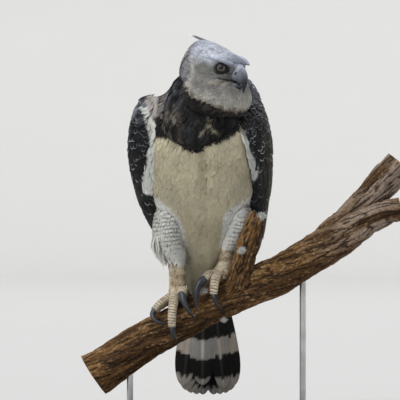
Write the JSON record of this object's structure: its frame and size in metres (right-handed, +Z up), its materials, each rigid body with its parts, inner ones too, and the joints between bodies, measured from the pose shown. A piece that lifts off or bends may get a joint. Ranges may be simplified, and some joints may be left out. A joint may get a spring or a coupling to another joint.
{
  "type": "perched harpy eagle",
  "caption": "Life-size harpy eagle perched on a cut length of branch with its head turned left, on a flat base with upright rods.",
  "frame": {"origin": "on the underside of the stand's base, below the middle of the perch between the bird's feet, as the mount base_underside", "axes": "+Z up; the bird's breast faces -Y; +X is the bird's own left, to which its head is turned and the branch rises"},
  "size_m": [0.7301, 0.395, 0.8361],
  "materials": {
    "pale_plumage": "soft white feathers",
    "grey_plumage": "short grey feathers",
    "dark_plumage": "slate-black feathers with a slight sheen",
    "dark_horn": "smooth horn",
    "scaly_skin": "dry scaly skin",
    "eyeball": "wet and clear",
    "bark_wood": "fissured bark",
    "base_board": "dark satin varnish",
    "rod_steel": "brushed"
  },
  "bodies": {
    "root": {"head": "grey_plumage", "bill_upper": "dark_horn", "bill_lower": "dark_horn", "eye_right": "eyeball", "eye_left": "eyeball", "crest": "grey_plumage", "neck": "dark_plumage", "torso": "pale_plumage", "wing_right": "dark_plumage", "wing_left": "dark_plumage", "tail": "dark_plumage", "thigh_right": "pale_plumage", "thigh_left": "pale_plumage", "tarsus_right": "scaly_skin", "tarsus_left": "scaly_skin", "toe_right_middle": "scaly_skin", "toe_right_inner": "scaly_skin", "toe_right_outer": "scaly_skin", "toe_right_hind": "scaly_skin", "toe_left_middle": "scaly_skin", "toe_left_inner": "scaly_skin", "toe_left_outer": "scaly_skin", "toe_left_hind": "scaly_skin", "claw_right_middle": "dark_horn", "claw_right_inner": "dark_horn", "claw_right_outer": "dark_horn", "claw_right_hind": "dark_horn", "claw_left_middle": "dark_horn", "claw_left_inner": "dark_horn", "claw_left_outer": "dark_horn", "claw_left_hind": "dark_horn", "perch_branch": "bark_wood", "stand_base": "base_board", "stand_rod_left": "rod_steel", "stand_rod_right": "rod_steel"}
  },
  "joints": []
}
